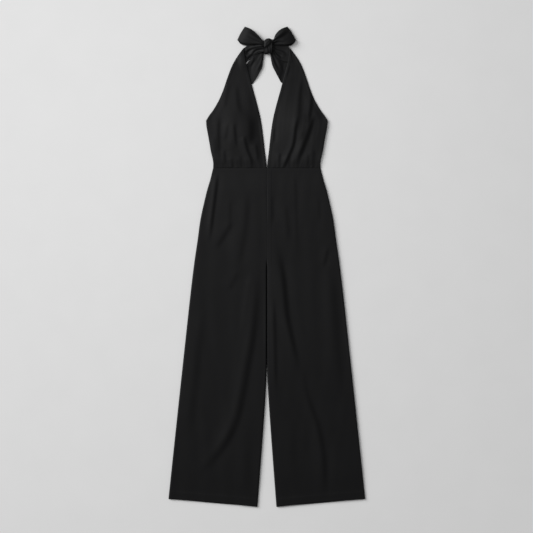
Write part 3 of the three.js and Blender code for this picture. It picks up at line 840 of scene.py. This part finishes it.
def bowTailPiece(side):
    rows = bowTail[side]

    def place(u, v):
        ax, aUp, bx, bUp, under = sectionAt(rows, v)
        x, up = mix(ax, bx, u), mix(aUp, bUp, u)
        if side == left:
            # this tail lies on the strap
            strap = bodiceTop(side, x, up)
            under = np.maximum(under, strap + bowTail["onStrap"])
        share = 1 - between(*bowTail["pleatsOut"], v)
        rim = bandRim(u, bowTail["width"])
        z = under + garment["cloth"] + bowTail["high"] * share * pleatWave(bowTail["pleats"], u) * rim
        z += bowTail["tilt"] * (1 - u) ** 1.5 * between(*bowTail["tiltIn"], v)
        clear = between(*bowTail["foldsIn"], v) * (1 - between(*bowTail["foldsOut"], v)) * rim
        z = np.maximum(z + foldRise(tailFolds, x, up, fade=0.2) * clear, lowestBand)
        return (x, waistY + up, z), bandFlat(rows, u, v)

    thick = garment["cloth"] * bowTail["wall"]
    return laidPanel(f"tail_{sideName[side]}", 40, 60, place, crowd=0.3, thick=thick)


bowLoop = {
    # ax, aUp, bx, bUp, z of the middle, half the opening, from inside the knot to the outer fold
    right: [
        (0, 404.5, 0, 390, 11.4, 2.6), (-10, 404.9, -10, 390.5, 12.2, 3.2), (-22, 417, -30, 393.5, 11, 3.4),
        (-36, 431.5, -54, 395, 9.6, 4.4), (-52, 443.5, -75, 398.5, 8.2, 5.2),
        (-70.5, 451.6, -94.5, 409, 5.6, 3.2),
    ],
    left: [
        (9, 409.5, 9, 394, 10.8, 2.2), (20, 410, 20, 393.5, 10.8, 2.2), (27, 424, 37, 393.5, 11, 3.4),
        (37, 436.5, 58, 393, 10.6, 4.6), (51, 445.5, 77, 396.5, 8.8, 5.2),
        (66.5, 451.6, 93.5, 408, 5.6, 3.2),
    ],
    "turn": {"from": 0.46, "to": 0.54, "length": 0.08},  # where the outer fold turns, along both layers
    "fold": 0.04,  # share of the length that the outer fold takes to turn
    "flat": (48, 190),  # the ribbon's width and length in the flat
    "bulge": 1.6,
    "crown": 0.5,
    "sag": 0.75,  # how far the lower layer hangs, as a share of how far the upper one rises
    "pleats": {right: 2.5, left: 3},
    "high": 0.9,
    "drop": {right: 5.5, left: 4.5},  # how far the lower layer slips below the upper one
    "dropIn": (0.05, 0.5),
    "dropOut": (0.9, 1),
    "pleatsIn": (0.02, 0.2),
    "pleatsOut": (0.3, 0.95),
    "foldsOut": (0.85, 1),
}
# path of (x, up), ridge, drop, wide, on the upper layers alone
loopFolds = [
    ([(8, 392), (20, 401.6), (42, 418), (58, 431), (72, 441)], 0.6, 3.6, 5.5),
    ([(6, 398), (22, 400), (46, 402), (72, 404)], 0.5, 1.3, 4),
    ([(-4, 402), (-24, 405), (-46, 411), (-70, 420)], 0.5, 1.0, 4.5),
    ([(-6, 396), (-26, 398), (-50, 400), (-80, 406)], 0.3, 1.5, 3.2),
    ([(-6, 408), (-22, 412), (-40, 422), (-58, 436)], 0.4, 0.7, 4),
]


def bowLoopPiece(side):
    rows = bowLoop[side]

    def place(u, v):
        # v runs out along the upper layer, round the fold and back along the lower one
        start, end, fold = bowLoop["turn"]["from"], bowLoop["turn"]["to"], bowLoop["fold"]
        turn = np.clip((v - start) / bowLoop["turn"]["length"], 0, 1)
        s = np.where(v < 0.5, v / start, (1 - v) / start) * (1 - fold)
        s = np.where((v > start) & (v < end), 1 - fold * (1 - np.sin(math.pi * turn)), s)
        facing = np.cos(math.pi * turn)
        ax, aUp, bx, bUp, middle, half = sectionAt(rows, s)
        x, up = mix(ax, bx, u), mix(aUp, bUp, u)
        bow = np.sin(math.pi * u)
        x = x + bowLoop["bulge"] * bow * s**4 * side
        # the lower layer slips down a little, so that its edge shows
        slip = bowLoop["drop"][side] * between(*bowLoop["dropIn"], s) * (1 - facing) / 2 * u * u
        up = up - slip * (1 - between(*bowLoop["dropOut"], s))
        crown = 1 + bowLoop["crown"] * bow * np.sin(math.pi * s)
        z = middle + half * facing * crown * np.where(facing < 0, bowLoop["sag"], 1)
        near = (1 - between(*bowLoop["pleatsOut"], s)) * between(*bowLoop["pleatsIn"], s) * bow
        z += bowLoop["high"] * near * np.cos(2 * math.pi * bowLoop["pleats"][side] * u + 1.2) * facing
        upper = ease((facing + 0.2) / 1.2) * ease(np.minimum(u, 1 - u) * 6)
        z += foldRise(loopFolds, x, up) * upper * (1 - between(*bowLoop["foldsOut"], s))
        width, length = bowLoop["flat"]
        return (x, waistY + up, z), (u * width + flatShift["loop"], v * length)

    piece = clothGrid(f"loop_{sideName[side]}", 40, 120, place, crowd=0)
    faceUpAtTop(piece)
    giveWall(piece)
    return piece


knot = {
    "x": 3.8, "up": 388.2, "z": 10.4, "length": 25.5, "halfWidth": 25.4, "halfHeight": 8,
    "halfWidthAtEnd": {"above": 19, "below": 23.5},
    "heightAtEnd": 0.88, "wall": 1.6, "lean": 0.12, "rounding": 0.9,
    "boxiness": 3, "boxinessBelow": 2.1, "boxinessFrom": (-0.6, 0.4),  # 2 gives an ellipse
    "wrinkles": 1.6, "depth": 0.3, "slant": {"high": 0.22, "turn": 0.6},
    "around": 110,  # the band's length in the flat
}
# the wrap's last turn runs down to the lower left, over the part below it
knotFolds = [
    ([(30, 422), (18, 409), (12, 398), (5, 390.5), (-6, 384), (-20, 379)], 0.8, 3.2, 3.4),
    ([(18, 414), (9, 406), (3, 399), (-6, 394)], 0.2, 1.5, 2.8),
    ([(2, 388), (3, 380), (4, 370), (4, 358)], 0.3, 0.9, 2.6),
    ([(9, 390), (10, 380), (11, 370), (11, 358)], 0.2, 0.7, 2.2),
]


def bowKnot():
    def place(u, v):
        angle = 2 * math.pi * v
        dx = (u - 0.5) * knot["length"]
        barrel = np.sin(math.pi * np.clip(u, 0.001, 0.999)) ** knot["rounding"]
        high = mix(knot["heightAtEnd"], 1, barrel) * knot["halfHeight"]
        c, s = np.cos(angle), np.sin(angle)
        atEnd = mix(knot["halfWidthAtEnd"]["below"], knot["halfWidthAtEnd"]["above"], ease(c / 2 + 0.5))
        wide = mix(atEnd, knot["halfWidth"], barrel)
        boxiness = mix(knot["boxinessBelow"], knot["boxiness"], between(*knot["boxinessFrom"], c))
        reach = (np.abs(c) ** boxiness + np.abs(s) ** boxiness) ** (-1 / boxiness)
        # the band wraps at a slant, so its creases drift across as they go round
        slant = knot["slant"]["high"] * np.sin(angle + knot["slant"]["turn"])
        phase = 2 * math.pi * (knot["wrinkles"] * u + slant)
        crease = knot["depth"] * (0.5 + 0.5 * np.cos(phase)) ** 2 * np.sin(math.pi * u) ** 0.5
        x = knot["x"] + dx
        up = knot["up"] + knot["lean"] * dx + (wide * reach - crease) * c
        z = knot["z"] + (high * reach - crease) * s
        z += foldRise(knotFolds, x, up, fade=0.15) * ease(s * 1.6) * (0.4 + 0.6 * barrel)
        return (x, waistY + up, z), (u * knot["length"] + flatShift["knot"], v * knot["around"])

    piece = clothGrid("knot", 60, 150, place, crowd=0)
    bpy.ops.object.mode_set(mode="EDIT")
    bpy.ops.mesh.select_all(action="SELECT")
    bpy.ops.mesh.remove_doubles(threshold=0.01 * mm)  # the band's two ends meet
    bpy.ops.mesh.normals_make_consistent(inside=False)
    bpy.ops.object.mode_set(mode="OBJECT")
    faceUpAtTop(piece)
    giveWall(piece, knot["wall"])
    return piece


for side in (right, left):
    name = sideName[side]
    dress(neckTiePiece(side), f"neck_tie_{name}", clothBlack)
    dress(bowTailPiece(side), f"bow_tail_{name}", clothBlack)
    dress(bowLoopPiece(side), f"bow_loop_{name}", clothBlack)
dress(bowKnot(), "bow_knot", clothBlack)
print("ties and bow made")


# Floor and light
studio = {
    "key": {"at": (-12.9, 6.9, 8.9), "aim": (0, 0, 0), "size": 10.0, "power": 2960},
    "glow": {"at": (-0.55, 0.7, 2.0), "aim": (-0.45, 0.5, 0), "size": 0.9, "power": 7},
    "sky": 0.26,
}


def paintedFloor():
    # matt painted board: almost even, with the faintest mottling
    material, tree, surface = blankMaterial("mattPaintedBoard")
    place = addNode(tree, "ShaderNodeTexCoord").outputs["Object"]
    mottle = addNode(tree, "ShaderNodeTexNoise", {"Vector": place, "Scale": 9.0, "Detail": 3.0})
    colour = addNode(
        tree, "ShaderNodeMix",
        {0: mottle.outputs["Fac"], 6: linear("#e4e4e4"), 7: linear("#e8e8e8")},
        data_type="RGBA",
    )
    tree.links.new(colour.outputs[2], surface.inputs["Base Color"])
    surface.inputs["Roughness"].default_value = 0.9
    surface.inputs["Specular IOR Level"].default_value = 0.1
    return material


bpy.ops.object.select_all(action="DESELECT")
bpy.ops.mesh.primitive_plane_add(size=14, location=(0, 0, -0.0004))
floor = bpy.context.active_object
floor.name = "floor"
floor.data.materials.append(paintedFloor())

for name in ("key", "glow"):
    # a soft square lamp, turned to face its aim
    lamp = studio[name]
    away = np.subtract(lamp["at"], lamp["aim"])
    turn = (math.atan2(math.hypot(away[0], away[1]), away[2]), 0, math.atan2(away[0], -away[1]))
    bpy.ops.object.light_add(type="AREA", location=lamp["at"], rotation=turn)
    light = bpy.context.active_object
    light.name = f"{name}_light"
    light.data.size = lamp["size"]
    light.data.energy = lamp["power"]

world = bpy.data.worlds.new("studio")
bpy.context.scene.world = world
world.use_nodes = True
world.node_tree.nodes["Background"].inputs["Color"].default_value = (1, 1, 1, 1)
world.node_tree.nodes["Background"].inputs["Strength"].default_value = studio["sky"]
print("floor and light set")
